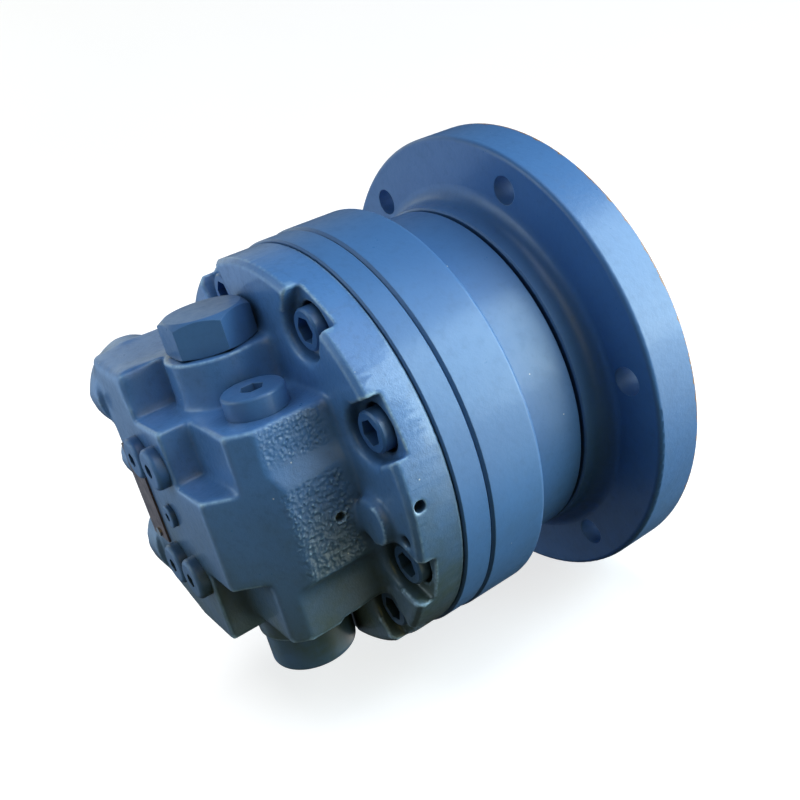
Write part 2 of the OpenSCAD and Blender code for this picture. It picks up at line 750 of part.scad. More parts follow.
module distributor() color(bronze) difference() {
    turned() difference() {
        union() for (step = dist_step) band(0, step[0], dist_x0 - step[1], dist_x0);
        band(0, dist_bore_r, dist_end - eps, dist_x0 + eps);
        band(dist_step[0][0] - 3, dist_step[0][0] + eps, dist_x0 - 7, dist_x0 - 3);
        band(dist_step[1][0] - 3, dist_step[1][0] + eps, dist_x0 - 15, dist_x0 - 12);
        for (i = [0 : 2]) seal_ring_band(i, dist_groove_depth, eps, dist_groove_w);
    }
    for (i = [0 : dist_ports - 1]) around((i + 0.5) * 360 / dist_ports, port_hole_circle_r) {
        depth = dist_port_depth[i % 2];
        rod(dist_x0 - depth - 2.5, dist_x0 + eps, dist_port_r);
        translate([dist_x0 - depth, 0, 2]) cylinder(h = 20, r = 1.6);
    }
    ring_of(4, dist_spring_r) rod(dist_end - eps, dist_end + dist_spring_depth, dist_spring_hole_r);
    ring_of(2, dist_spring_r, 45) rod(dist_end - eps, dist_end + dist_pin_depth, dist_pin_r + fit_gap);
}

// The section of a seal ring or of its groove on one step of the distributor
module seal_ring_band(i, depth, proud, width)
    band(dist_step[i][0] - depth, dist_step[i][0] + proud, dist_x0 - dist_groove[i] - width / 2,
        dist_x0 - dist_groove[i] + width / 2);

module distributor_seal_rings() color(seal_black) for (i = [0 : 2])
    turned() seal_ring_band(i, dist_groove_depth - 0.2, 0, dist_groove_w - 0.2);

module distributor_springs() color(dark_steel) ring_of(4, dist_spring_r) translate([dist_end - dist_slack, 0, 0])
    rotate([0, 90, 0]) coil_spring(0.05, dist_spring_depth + dist_slack - 0.05, dist_spring_hole_r - 1.1, 0.6, 4);

module distributor_pins() color(dark_steel) ring_of(2, dist_spring_r, 45)
    rod(dist_end - dist_slack - dist_pin_depth, dist_end + dist_pin_depth - 0.5, dist_pin_r);

module spool() color(machined) translate([x_spool, 0, spool_mid]) difference() {
    rotate_extrude() difference() {
        translate([0, -spool_half]) square([spool_r - run_gap, 2 * spool_half]);
        for (z = [-22, 12]) translate([10, z]) square([spool_r, 10]);
        for (z = [-32, -4, 2, 30]) translate([spool_r - 0.8, z]) square([5, 1.6]);
    }
    for (z = [-spool_half - eps, spool_half - 12]) translate([0, 0, z]) cylinder(h = 12 + eps, r = 6);
}

module spool_spring_seats() color(dark_steel) for (side = [0, 1]) translate([x_spool, 0, spool_mid])
    mirror([0, 0, side]) translate([0, 0, spool_half]) rotate_extrude() difference() {
        square([spool_r - 2, seat_t]);
        translate([-eps, -eps]) square([5 + eps, seat_t + 2 * eps]);
    }

module spool_spring(side) color(dark_steel) translate([x_spool, 0, spool_mid]) mirror([0, 0, side])
    coil_spring(spool_half + seat_t, spool_spring_end - spool_mid, spool_r - 5, 1.6, 6);

// The threaded part below a spool plug's head, with the spring's seat and the O-ring's groove
module plug_shank() difference() {
    translate([0, 0, -plug_thread_len]) cylinder(h = plug_thread_len + eps, r = plug_thread_r - fit_gap);
    translate([0, 0, -plug_thread_len - eps]) cylinder(h = 8 + eps, r = plug_bore_r);
    rotate_extrude() translate([plug_thread_r - 2.2, -5]) square([5, 3]);
}

module top_spool_plug() color(paint) translate([x_spool, 0, boss_top]) {
    intersection() {
        rotate(plug_clock) hexagon(plug_flats, plug_h);
        rotate_extrude() polygon([[0, 0], [plug_flats / 2 - 1, 0], [plug_chamfer_r, 2], [plug_chamfer_r, plug_h - 4],
            [plug_flats / 2 - 1, plug_h], [0, plug_h]]);
    }
    plug_shank();
}

module bottom_spool_plug() color(paint) translate([x_spool, 0, -boss_low]) mirror([0, 0, 1]) {
    difference() {
        rotate_extrude() difference() {
            square([low_plug_d / 2, low_plug_h]);
            translate([low_plug_d / 2 - 4, low_plug_h - 4]) difference() {
                square(5);
                circle(r = 4);
            }
        }
        translate([0, 0, low_plug_h - 12]) hexagon(plug_key, 12 + eps);
    }
    plug_shank();
}

module spool_plug_o_rings() color(seal_black) {
    translate([x_spool, 0, boss_top - 3.5]) o_ring(plug_thread_r - 1.15, 1.05);
    translate([x_spool, 0, -boss_low + 3.5]) o_ring(plug_thread_r - 1.15, 1.05);
}

module gallery_plug(head_r, head_h, thread_r, thread_len, key) translate([x_end, 0, 0]) difference() {
    turned() difference() {
        union() {
            band(0, head_r, -head_h, 0);
            band(0, thread_r - fit_gap, 0, thread_len);
        }
        round_cut(head_r, -head_h, head_h * 0.4, -1);
    }
    translate([-head_h - eps, 0, 0]) rotate([0, 90, 0]) hexagon(key, head_h * 0.8 + eps);
}

module at_gallery_plugs() {
    for (y = [-gallery_y, gallery_y], z = [-gallery_z, gallery_z])
        translate([0, gallery_at[0] + y, gallery_at[1] + z]) children();
}

module gallery_plugs() color(paint) at_gallery_plugs()
    gallery_plug(gallery_head_d / 2, gallery_head_h, gallery_r, 12, 8);

module centre_plug() color(paint) translate([0, gallery_at[0], gallery_at[1]]) gallery_plug(7, 3, 5, 9, 5);

module nameplate() color(plate_brown) difference() {
    translate([x_end - plate_t, plate_y - plate_w / 2, -plate_h / 2]) cube([plate_t, plate_w, plate_h]);
    for (z = [-rivet_z, rivet_z]) translate([0, plate_y, z]) rod(x_end - 5, x_end + 5, 2);
}

module nameplate_rivets() color(machined) for (z = [-rivet_z, rivet_z]) translate([0, plate_y, z]) {
    rod(x_end - plate_t, x_end + 5, 1.95);
    rod(x_end - plate_t - 1.2, x_end - plate_t, 3);
}

mounting_flange();
flange_screws();
front_housing();
cam_ring();
housing_o_rings();
valve_housing();
housing_screws();
seal_carrier();
shaft_seal();
snap_ring();
at_inner_bearing() bearing_cup();  // inner_bearing_cup
at_inner_bearing() bearing_cone();  // inner_bearing_cone
at_inner_bearing() bearing_rollers();  // inner_bearing_rollers
at_inner_bearing() bearing_cage();  // inner_bearing_cage
at_outer_bearing() bearing_cup();  // outer_bearing_cup
at_outer_bearing() bearing_cone();  // outer_bearing_cone
at_outer_bearing() bearing_rollers();  // outer_bearing_rollers
at_outer_bearing() bearing_cage();  // outer_bearing_cage
bearing_lock_nut();
output_shaft();
cylinder_block();
piston(1);  // piston_1
piston(2);  // piston_2
piston(3);  // piston_3
piston(4);  // piston_4
piston(5);  // piston_5
piston(6);  // piston_6
piston(7);  // piston_7
piston(8);  // piston_8
cam_roller(1);  // cam_roller_1
cam_roller(2);  // cam_roller_2
cam_roller(3);  // cam_roller_3
cam_roller(4);  // cam_roller_4
cam_roller(5);  // cam_roller_5
cam_roller(6);  // cam_roller_6
cam_roller(7);  // cam_roller_7
cam_roller(8);  // cam_roller_8
distributor();
distributor_springs();
distributor_seal_rings();
distributor_pins();
spool();
spool_spring_seats();
spool_spring(0);  // top_spool_spring
spool_spring(1);  // bottom_spool_spring
top_spool_plug();
bottom_spool_plug();
spool_plug_o_rings();
relief_cap();
relief_seat();
relief_poppet();
relief_spring();
gallery_plugs();
centre_plug();
nameplate();
nameplate_rivets();
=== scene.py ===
"""Looks of the hydraulic drive motor: castings, paint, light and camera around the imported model.

X is the shaft axis and points to the output end, Z is the spool axis, and -Y is the side that the
photograph shows. Lengths are in metres and angles in degrees.
"""
import json
import math

import bmesh
import bpy
import numpy as np
from mathutils import Matrix, Vector, noise


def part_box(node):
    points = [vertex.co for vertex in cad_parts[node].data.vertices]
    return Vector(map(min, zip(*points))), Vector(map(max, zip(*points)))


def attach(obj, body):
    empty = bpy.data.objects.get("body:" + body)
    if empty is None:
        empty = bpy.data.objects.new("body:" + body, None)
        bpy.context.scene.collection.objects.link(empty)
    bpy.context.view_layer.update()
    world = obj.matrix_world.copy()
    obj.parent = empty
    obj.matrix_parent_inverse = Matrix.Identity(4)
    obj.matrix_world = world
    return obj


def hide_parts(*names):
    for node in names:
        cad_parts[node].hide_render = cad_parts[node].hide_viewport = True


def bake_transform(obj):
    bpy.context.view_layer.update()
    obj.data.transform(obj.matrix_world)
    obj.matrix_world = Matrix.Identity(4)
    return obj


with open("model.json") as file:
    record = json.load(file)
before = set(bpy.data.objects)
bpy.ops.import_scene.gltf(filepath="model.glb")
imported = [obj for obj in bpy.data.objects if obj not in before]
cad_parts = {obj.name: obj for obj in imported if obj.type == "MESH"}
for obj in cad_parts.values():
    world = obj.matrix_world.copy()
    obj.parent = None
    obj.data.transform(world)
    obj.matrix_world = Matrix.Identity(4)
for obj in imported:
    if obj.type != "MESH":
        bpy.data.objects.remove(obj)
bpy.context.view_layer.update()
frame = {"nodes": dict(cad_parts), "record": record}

nodes = frame["nodes"]
mounts = {mount["name"]: mount for mount in frame["record"]["mounts"]}
slot_of = {part["node"]: part["material_slot"] for part in frame["record"]["subparts"]}
scene = bpy.context.scene

# Places along the shaft axis and radii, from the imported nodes

HEADS_BELOW_RIM = 0.004
RING_INTO_RIM = 0.009
RIM_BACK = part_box("housing_screws")[0].x - HEADS_BELOW_RIM
RIM_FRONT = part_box("cam_ring")[0].x + RING_INTO_RIM
RIM_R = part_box("valve_housing")[1].z
BLOCK_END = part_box("nameplate")[1].x
SPOOL_X = (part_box("spool")[0].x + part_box("spool")[1].x) / 2
FLANGE_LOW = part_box("mounting_flange")[0].z
FLANGE_R = -FLANGE_LOW


# Shader helpers


def new_material(name):
    """An empty node material with its output and a Principled shader."""
    material = bpy.data.materials.new(name)
    material.use_nodes = True
    tree = material.node_tree
    tree.nodes.clear()
    output = tree.nodes.new("ShaderNodeOutputMaterial")
    shader = tree.nodes.new("ShaderNodeBsdfPrincipled")
    tree.links.new(shader.outputs["BSDF"], output.inputs["Surface"])
    return material, tree, shader


def feed(tree, socket, value):
    """Links a socket to another, or sets its number or colour."""
    if isinstance(value, bpy.types.NodeSocket):
        tree.links.new(value, socket)
    else:
        socket.default_value = value


def add(tree, kind, **inputs):
    """A new node with its inputs set; an input given as a socket is linked."""
    node = tree.nodes.new(kind)
    for name, value in inputs.items():
        feed(tree, node.inputs[name], value)
    return node


def place(tree):
    """The object coordinates socket, in metres in the part's frame."""
    return tree.nodes.new("ShaderNodeTexCoord").outputs["Object"]


def axis_place(tree, axis):
    """One coordinate of the part's frame as a number."""
    return add(tree, "ShaderNodeSeparateXYZ", Vector=place(tree)).outputs[axis]


def vector_math(tree, operation, first, second=None):
    """A vector operation on one or two sockets or values."""
    node = tree.nodes.new("ShaderNodeVectorMath")
    node.operation = operation
    feed(tree, node.inputs[0], first)
    if second is not None:
        feed(tree, node.inputs[1], second)
    return node


def axis_distance(tree):
    """The distance from the shaft axis as a number."""
    across = vector_math(tree, "MULTIPLY", place(tree), (0.0, 1.0, 1.0))
    return vector_math(tree, "LENGTH", across.outputs["Vector"]).outputs["Value"]


def noise_value(tree, scale, detail, roughness):
    """Cloudy noise from 0 to 1, its scale in waves a metre."""
    at = place(tree)
    clouds = add(tree, "ShaderNodeTexNoise", Vector=at, Scale=scale, Detail=detail, Roughness=roughness)
    return clouds.outputs["Fac"]


def math_node(tree, operation, a, b=0.0, clamp=False):
    """A number operation on two sockets or numbers."""
    node = tree.nodes.new("ShaderNodeMath")
    node.operation = operation
    node.use_clamp = clamp
    feed(tree, node.inputs[0], a)
    feed(tree, node.inputs[1], b)
    return node.outputs[0]


def product(tree, a, b):
    """Two sockets or numbers multiplied."""
    return math_node(tree, "MULTIPLY", a, b)


def remap(tree, value, low, high, out_low=0.0, out_high=1.0):
    """Stretches a value from one range to another and stops at its ends."""
    node = add(tree, "ShaderNodeMapRange", Value=value)
    for name, number in (("From Min", low), ("From Max", high), ("To Min", out_low), ("To Max", out_high)):
        node.inputs[name].default_value = number
    return node.outputs["Result"]


def mix_colour(tree, factor, a, b):
    """Colour a where the factor is 0 and colour b where it is 1."""
    node = tree.nodes.new("ShaderNodeMix")
    node.data_type = "RGBA"
    feed(tree, node.inputs["Factor"], factor)
    first, second = (socket for socket in node.inputs if socket.type == "RGBA")
    feed(tree, first, a)
    feed(tree, second, b)
    return next(socket for socket in node.outputs if socket.type == "RGBA")


BEVEL_SAMPLES = 6
CREVICE_SAMPLES = 4


def rounded_normal(tree, radius):
    """The surface normal as if every sharp edge had this radius."""
    bevel = tree.nodes.new("ShaderNodeBevel")
    bevel.samples = BEVEL_SAMPLES
    bevel.inputs["Radius"].default_value = radius
    return bevel.outputs["Normal"]


def edge_mask(tree, radius, gain):
    """1 on edges and 0 on flat ground, from how far a rounded normal turns away."""
    geometry = tree.nodes.new("ShaderNodeNewGeometry")
    facing = vector_math(tree, "DOT_PRODUCT", rounded_normal(tree, radius), geometry.outputs["Normal"])
    turned_away = math_node(tree, "SUBTRACT", 1.0, facing.outputs["Value"])
    return math_node(tree, "MULTIPLY", turned_away, gain, clamp=True)


def ridge_mask(tree, low, high):
    """1 on the crests of a rounded mesh, where the surface bulges out."""
    return remap(tree, tree.nodes.new("ShaderNodeNewGeometry").outputs["Pointiness"], low, high)


def crevice_mask(tree, distance):
    """1 deep in corners and gaps, 0 on open ground."""
    node = tree.nodes.new("ShaderNodeAmbientOcclusion")
    node.samples = CREVICE_SAMPLES
    node.inputs["Distance"].default_value = distance
    return math_node(tree, "SUBTRACT", 1.0, node.outputs["AO"], clamp=True)


def specks(tree, scale, size, share):
    """Small scattered dots: size is their radius in cells, share how many cells have one."""
    cells = add(tree, "ShaderNodeTexVoronoi", Vector=place(tree), Scale=scale)
    near = math_node(tree, "LESS_THAN", cells.outputs["Distance"], size)
    lot = add(tree, "ShaderNodeSeparateColor", Color=cells.outputs["Color"]).outputs[0]
    return product(tree, near, math_node(tree, "LESS_THAN", lot, share))


def bump(tree, shader, height, strength, depth, under=None):
    """Gives the shader a bump from a height, over another normal where one is given."""
    node = add(tree, "ShaderNodeBump", Height=height, Strength=strength, Distance=depth)
    if under is not None:
        tree.links.new(under, node.inputs["Normal"])
    tree.links.new(node.outputs["Normal"], shader.inputs["Normal"])


def rgb(r, g, b):
    """A linear colour from 8-bit screen values."""
    linear = [((c / 255 + 0.055) / 1.055) ** 2.4 if c > 10 else c / 255 / 12.92 for c in (r, g, b)]
    return (*linear, 1.0)


# Blue paint

PAINT = rgb(80, 125, 184)
PAINT_LIGHT = rgb(88, 136, 196)
PAINT_DARK = rgb(64, 98, 144)
# Lighter edges, for wear and as a painted highlight
EDGE_WEAR_AND_HIGHLIGHT = rgb(160, 196, 228)
# Painted shade: the paint is darker and greyer towards the bottom
PAINT_LOW_SHADE = rgb(72, 88, 90)
# Painted shade, darkening the paint deep in corners and gaps
CORNER_SHADE = rgb(26, 34, 40)
# A greenish painted reflection low down
GREEN_REFLECTION = rgb(70, 84, 62)
CHIP = rgb(196, 206, 214)
BARE_METAL = rgb(142, 143, 143)
BROWN_EDGE = rgb(150, 104, 70)

# Heights at which the painted shade low down starts and is full
LOW_SHADE_FROM = 0.03
LOW_SHADE_FULL = -0.08
# How far the painted shade in corners reaches, and how much of it shows
CORNER_SHADE_REACH = 0.009
CORNER_SHADE_SHARE = 0.7
GREEN_REFLECTION_SHARE = 0.3
PAINT_BUMP = 0.0006
PAINT_GLOSS = 0.55

# The flange is bare from just behind its mounting face, and its outer edge turns brown
FLANGE_BARE_FROM = -0.0026
BARE_LINE_WAVES = 0.0012
BARE_SHINE = 0.85
BROWN_FROM = FLANGE_R - 0.003
BROWN_FULL = FLANGE_R - 0.001

# How the same paint lies on turned surfaces and on the raw casting
TURNED = {"dust": 0.25, "chips": 0.04, "grain": 0.2, "coat": 0.25, "coat_roughness": 0.18}
CAST = {"dust": 0.5, "chips": 0.12, "grain": 0.5, "coat": 0.6, "coat_roughness": 0.13}


def paint_colour(tree, finish, dust, worn_and_lit_edges, low_shade):
    """Cloudy and dusty blue, with painted shade low down and in corners, a greenish painted reflection low
    down, and edges lighter for wear and as a painted highlight.
    """
    clouds = noise_value(tree, scale=12.0, detail=4.0, roughness=0.6)
    colour = mix_colour(tree, remap(tree, clouds, 0.38, 0.66, 0.0, 0.7), PAINT, PAINT_LIGHT)
    colour = mix_colour(tree, remap(tree, dust, 0.50, 0.76, 0.0, finish["dust"]), colour, PAINT_DARK)
    corner = crevice_mask(tree, CORNER_SHADE_REACH)
    # Painted shade: darker and greyer towards the bottom
    low_place = remap(tree, axis_place(tree, "Z"), LOW_SHADE_FROM, LOW_SHADE_FULL)
    colour = mix_colour(tree, product(tree, low_place, low_shade), colour, PAINT_LOW_SHADE)
    # Painted reflection: greenish patches low down, stronger in corners
    patches = remap(tree, noise_value(tree, scale=34.0, detail=4.0, roughness=0.65), 0.44, 0.66, 0.0, 0.6)
    green_reflection = product(tree, low_place, patches)
    green_reflection = math_node(tree, "ADD", green_reflection, product(tree, low_place, corner), clamp=True)
    colour = mix_colour(tree, product(tree, green_reflection, GREEN_REFLECTION_SHARE + low_shade), colour, GREEN_REFLECTION)
    # Painted shade: the paint is darker deep in corners and gaps
    colour = mix_colour(tree, product(tree, corner, CORNER_SHADE_SHARE), colour, CORNER_SHADE)
    # Edges lighter for wear and as a painted highlight, in a broken line
    edge_strength = remap(tree, noise_value(tree, scale=260.0, detail=3.0, roughness=0.6), 0.36, 0.60, 0.45, 1.0)
    colour = mix_colour(tree, product(tree, worn_and_lit_edges, edge_strength), colour, EDGE_WEAR_AND_HIGHLIGHT)
    return mix_colour(tree, specks(tree, scale=140.0, size=0.06, share=finish["chips"]), colour, CHIP)


def bare_beyond(tree, shader, colour, bare_from):
    """The paint's colour, but bare metal with a brown outer edge beyond a place on the shaft axis."""
    ragged = noise_value(tree, scale=120.0, detail=4.0, roughness=0.7)
    wobble = remap(tree, ragged, 0.3, 0.7, -BARE_LINE_WAVES, BARE_LINE_WAVES)
    bare = math_node(tree, "GREATER_THAN", math_node(tree, "ADD", axis_place(tree, "X"), wobble), bare_from)
    rust = remap(tree, noise_value(tree, scale=60.0, detail=5.0, roughness=0.7), 0.35, 0.70, 0.0, 0.30)
    rust = math_node(tree, "MAXIMUM", rust, remap(tree, axis_distance(tree), BROWN_FROM, BROWN_FULL))
    shiny = product(tree, bare, math_node(tree, "SUBTRACT", BARE_SHINE, rust, clamp=True))
    tree.links.new(shiny, shader.inputs["Metallic"])
    return mix_colour(tree, bare, colour, mix_colour(tree, rust, BARE_METAL, BROWN_EDGE))


def paint_material(name, finish=TURNED, edge_radius=0.0008, bare_from=None, skin_depth=0.15, low_shade=0.0):
    """Satin blue paint over iron.

    skin_depth says how strongly its skin shows, the last argument how strongly painted shade and a greenish
    painted reflection show low down, and bare_from is the place along the shaft axis from which the surface
    is unpainted.
    """
    material, tree, shader = new_material(name)
    cast = finish is CAST
    dust = noise_value(tree, scale=170.0, detail=6.0, roughness=0.7)
    # The edges that are lightened for wear and as a painted highlight
    worn_and_lit_edges = ridge_mask(tree, 0.514, 0.552) if cast else edge_mask(tree, edge_radius, 1.3)
    colour = paint_colour(tree, finish, dust, worn_and_lit_edges, low_shade)
    if bare_from is not None:
        colour = bare_beyond(tree, shader, colour, bare_from)
    tree.links.new(colour, shader.inputs["Base Color"])
    tree.links.new(remap(tree, dust, 0.3, 0.7, 0.27, 0.43), shader.inputs["Roughness"])
    shader.inputs["Specular IOR Level"].default_value = PAINT_GLOSS
    shader.inputs["Coat Weight"].default_value = finish["coat"]
    shader.inputs["Coat Roughness"].default_value = finish["coat_roughness"]
    skin = noise_value(tree, scale=380.0, detail=3.0, roughness=0.55)
    grain = noise_value(tree, scale=1300.0, detail=2.0, roughness=0.5)
    height = math_node(tree, "ADD", skin, product(tree, grain, finish["grain"]))
    under = None if cast else rounded_normal(tree, edge_radius)
    bump(tree, shader, height, skin_depth, PAINT_BUMP, under)
    return material


# Metals and rubber

PLATE = rgb(150, 122, 108)
PLATE_DARK = rgb(98, 78, 74)
PLATE_SCRATCH = rgb(150, 140, 136)
PLATE_EDGE = rgb(170, 160, 150)
PLATE_SHINE = 0.55
METAL_SHADE = 0.72
RUBBER = (0.012, 0.012, 0.013, 1)
RUBBER_LIGHT = (0.03, 0.03, 0.032, 1)


def metal_material(name, colour, roughness, streak=0.0):
    """Bare or dark metal, with turning marks round the shaft axis where streak is above 0."""
    material, tree, shader = new_material(name)
    clouds = remap(tree, noise_value(tree, scale=60.0, detail=4.0, roughness=0.6), 0.35, 0.7)
    shade = tuple(c * METAL_SHADE for c in colour[:3]) + (1.0,)
    tree.links.new(mix_colour(tree, clouds, colour, shade), shader.inputs["Base Color"])
    shader.inputs["Metallic"].default_value = 1.0
    fine = noise_value(tree, scale=900.0, detail=3.0, roughness=0.6)
    tree.links.new(remap(tree, fine, 0.3, 0.7, roughness * 0.8, roughness * 1.25), shader.inputs["Roughness"])
    height = fine
    if streak:
        marks = add(tree, "ShaderNodeTexWave", Vector=place(tree), Scale=420.0, Distortion=0.6, Detail=2.0)
        height = math_node(tree, "ADD", fine, product(tree, marks.outputs["Fac"], streak))
    bump(tree, shader, height, strength=0.12, depth=0.0003)
    return material


def plate_material(name):
    """The bare nameplate: dull brown metal, scratched, with brighter worn edges."""
    material, tree, shader = new_material(name)
    clouds = noise_value(tree, scale=110.0, detail=5.0, roughness=0.65)
    colour = mix_colour(tree, remap(tree, clouds, 0.36, 0.66), PLATE, PLATE_DARK)
    drawn_out = add(tree, "ShaderNodeMapping", Vector=place(tree), Scale=(1.0, 14.0, 2.0)).outputs[0]
    scratches = add(tree, "ShaderNodeTexNoise", Vector=drawn_out, Scale=60.0, Detail=4.0, Roughness=0.7)
    shown = remap(tree, scratches.outputs["Fac"], 0.60, 0.70, 0.0, 0.6)
    colour = mix_colour(tree, shown, colour, PLATE_SCRATCH)
    colour = mix_colour(tree, edge_mask(tree, radius=0.0005, gain=1.4), colour, PLATE_EDGE)
    tree.links.new(colour, shader.inputs["Base Color"])
    shader.inputs["Metallic"].default_value = PLATE_SHINE
    tree.links.new(remap(tree, clouds, 0.3, 0.7, 0.34, 0.5), shader.inputs["Roughness"])
    bump(tree, shader, clouds, strength=0.12, depth=0.0003)
    return material


def rubber_material(name):
    """Black sealing rubber with a dusty bloom."""
    material, tree, shader = new_material(name)
    clouds = noise_value(tree, scale=300.0, detail=4.0, roughness=0.6)
    tree.links.new(mix_colour(tree, clouds, RUBBER, RUBBER_LIGHT), shader.inputs["Base Color"])
    tree.links.new(remap(tree, clouds, 0.3, 0.7, 0.55, 0.75), shader.inputs["Roughness"])
    bump(tree, shader, clouds, strength=0.1, depth=0.0002)
    return material


turned_paint = paint_material("turned_paint")
flange_paint = paint_material("flange_paint", bare_from=FLANGE_BARE_FROM, skin_depth=0.24)
cast_paint = paint_material("cast_paint", CAST, skin_depth=0.30, low_shade=0.9)
plug_paint = paint_material("plug_paint", edge_radius=0.0006, low_shade=0.6)

BY_SLOT = {
    "blue_paint": turned_paint,
    "painted_screws": plug_paint,
    "machined_steel": metal_material("machined_steel", (0.52, 0.53, 0.55, 1), 0.28, streak=0.5),
    "roller_steel": metal_material("roller_steel", (0.62, 0.63, 0.65, 1), 0.12),
    "dark_steel": metal_material("dark_steel", (0.10, 0.10, 0.11, 1), 0.38),
    "cast_iron": metal_material("cast_iron", (0.20, 0.205, 0.21, 1), 0.5),
    "cage_brass": metal_material("cage_brass", (0.60, 0.44, 0.18, 1), 0.32),
    "distributor_bronze": metal_material("distributor_bronze", (0.46, 0.31, 0.15, 1), 0.35, streak=0.4),
    "seal_rubber": rubber_material("seal_rubber"),
    "plate_metal": plate_material("plate_metal"),
    "rivet_metal": metal_material("rivet_metal", (0.62, 0.60, 0.57, 1), 0.3),
}
BLOCK_PLUGS = ["gallery_plugs", "centre_plug", "bottom_spool_plug", "top_spool_plug", "relief_cap"]
OWN_PAINT = {"mounting_flange": flange_paint, **{name: plug_paint for name in BLOCK_PLUGS}}
for node_name, node_object in nodes.items():
    node_object.data.materials.clear()
    node_object.data.materials.append(OWN_PAINT.get(node_name, BY_SLOT[slot_of[node_name]]))


# Mesh helpers


def ramp(values, start, end):
    """0 up to start, 1 from end on, straight between; end may lie on either side of start."""
    return np.clip((values - start) / (end - start), 0.0, 1.0)


def points_of(mesh):
    """The places of a mesh's vertices, one a row."""
    points = np.empty(len(mesh.vertices) * 3, np.float32)
    mesh.vertices.foreach_get("co", points)
    return points.reshape(-1, 3).astype(float)


def set_points(mesh, points):
    """Moves a mesh's vertices to these places."""
    mesh.vertices.foreach_set("co", points.astype(np.float32).ravel())
    mesh.update()


def edges_of(mesh):
    """The two vertices of each of a mesh's edges, one pair a row."""
    edges = np.empty(len(mesh.edges) * 2, np.int32)
    mesh.edges.foreach_get("vertices", edges)
    return edges.reshape(-1, 2)


def normals_of(mesh, points):
    """The vertex normals that the mesh has with its vertices at these points."""
    set_points(mesh, points)
    normals = np.empty(len(mesh.vertices) * 3, np.float32)
    mesh.vertex_normals.foreach_get("vector", normals)
    return normals.reshape(-1, 3).astype(float)


def new_piece(name, mesh):
    """A new object of the scene with this mesh."""
    piece = bpy.data.objects.new(name, mesh)
    scene.collection.objects.link(piece)
    return piece


def with_modifiers(piece):
    """A new mesh of a piece with its modifiers applied."""
    return bpy.data.meshes.new_from_object(piece.evaluated_get(bpy.context.evaluated_depsgraph_get()))


WELD_REACH = 1e-6


def grid_copy(source, size):
    """A new mesh of even squares over a solid."""
    welded = new_piece("welded", source.data.copy())
    shape = bmesh.new()
    shape.from_mesh(welded.data)
    bmesh.ops.remove_doubles(shape, verts=shape.verts, dist=WELD_REACH)
    shape.to_mesh(welded.data)
    shape.free()
    remesh = welded.modifiers.new("grid", "REMESH")
    remesh.mode = "VOXEL"
    remesh.voxel_size = size
    mesh = with_modifiers(welded)
    bpy.data.objects.remove(welded)
    return mesh


def neighbour_mean(points, edges, neighbours):
    """The mean of each point's neighbours along the edges."""
    a, b = edges.T
    count = len(points)
    return np.column_stack([
        (np.bincount(a, weights=points[b, k], minlength=count)
         + np.bincount(b, weights=points[a, k], minlength=count)) / neighbours for k in range(3)])


STEP_SHARE = 0.5
NORMALS_EVERY = 8


def smoothed(points, edges, weight, rounds):
    """Draws each point towards the mean of its neighbours; weight says how freely it moves."""
    neighbours = np.bincount(edges.ravel(), minlength=len(points))
    for _ in range(rounds):
        mean = neighbour_mean(points, edges, neighbours)
        points = points + (weight * STEP_SHARE)[:, None] * (mean - points)
    return points


def filleted(mesh, points, edges, weight, rounds):
    """Fills inside corners with a fillet: points only ever move out of the material."""
    neighbours = np.bincount(edges.ravel(), minlength=len(points))
    for step in range(rounds):
        if step % NORMALS_EVERY == 0:
            normals = normals_of(mesh, points)
        mean = neighbour_mean(points, edges, neighbours)
        outward = np.maximum(((mean - points) * normals).sum(axis=1), 0.0)
        points = points + (weight * STEP_SHARE * outward)[:, None] * normals
    return points


# The cast valve housing

GRID = 0.0012
CAST_TRIANGLES = 190000
FILLET_STEPS = 44
ROUND_STEPS = 5

# Machined faces that stay true: the rim's outside and front, the inner bores and the ports
RIM_BAND = 0.008
FACE_BAND = 0.005
RIM_EDGE = 0.002
DISTRIBUTOR_BORE_R = 0.060
DISTRIBUTOR_DEPTH = 0.008
MOUTH_BORE_R = 0.100
MOUTH_FROM = 0.018
SPOOL_BORE_R = 0.0225
PORT_MARGIN = 0.0015
PORT_FROM = 0.030
PORT_SOFTNESS = 0.4

# The foot, where the block runs into the rim, but for a boss on the rim
FILLET_END = RIM_BACK + 0.001
FOOT_STEPS = 22
FOOT_FROM = RIM_BACK - 0.018
FOOT_FULL = RIM_BACK - 0.008
FOOT_FULL_TO = RIM_BACK + 0.001
FOOT_END = RIM_BACK + 0.004
FOOT_INSIDE = 0.016
RIM_BOSS = (-0.103, -0.017)
RIM_BOSS_R = 0.016

# The crown over the upper port
CROWN_STEPS = 60
CROWN_SIDE = 0.010
CROWN_LOW = 0.062
CROWN_HIGH = 0.070
CROWN_FULL_TO = BLOCK_END + 0.010
CROWN_END = BLOCK_END + 0.022

# The uneven faces on the block's side, as ranges of height, and their relief
BLOCK_SIDE = -0.074
SIDE_REACH = 0.004
FACES_SIDE = -0.8
ROUGH_ZONES = ((-0.036, 0.020), (0.031, 0.055))
ROUGH_FADE = 0.003
ROUGH_START = BLOCK_END + 0.030
ROUGH_FULL = ROUGH_START + 0.004
ROUGH_FULL_TO = RIM_BACK - 0.010
ROUGH_END = RIM_BACK - 0.004
ROUGH_DEPTH = 0.0007
WIDE_WAVES = 190.0
PIT_WAVES = 620.0
PIT_LEVEL = 0.25
COARSE = {"grain": 440.0, "sharp": 800.0, "share": 1.0}
FINE = {"grain": 560.0, "sharp": 980.0, "share": 0.75}

# A small drilled hole in the block's side
SIDE_HOLE = (-0.198, -0.0085)
SIDE_HOLE_R = 0.0026
SIDE_HOLE_DEPTH = 0.006
SIDE_HOLE_EDGE = 0.0003
SIDE_HOLE_REACH = 0.006

# The paint lip round it: its height, and its inner top, outer top and end beyond the hole
LIP_HEIGHT = 0.0004
LIP_INSIDE = 0.0006
LIP_OUTSIDE = 0.0008
LIP_END = 0.0020


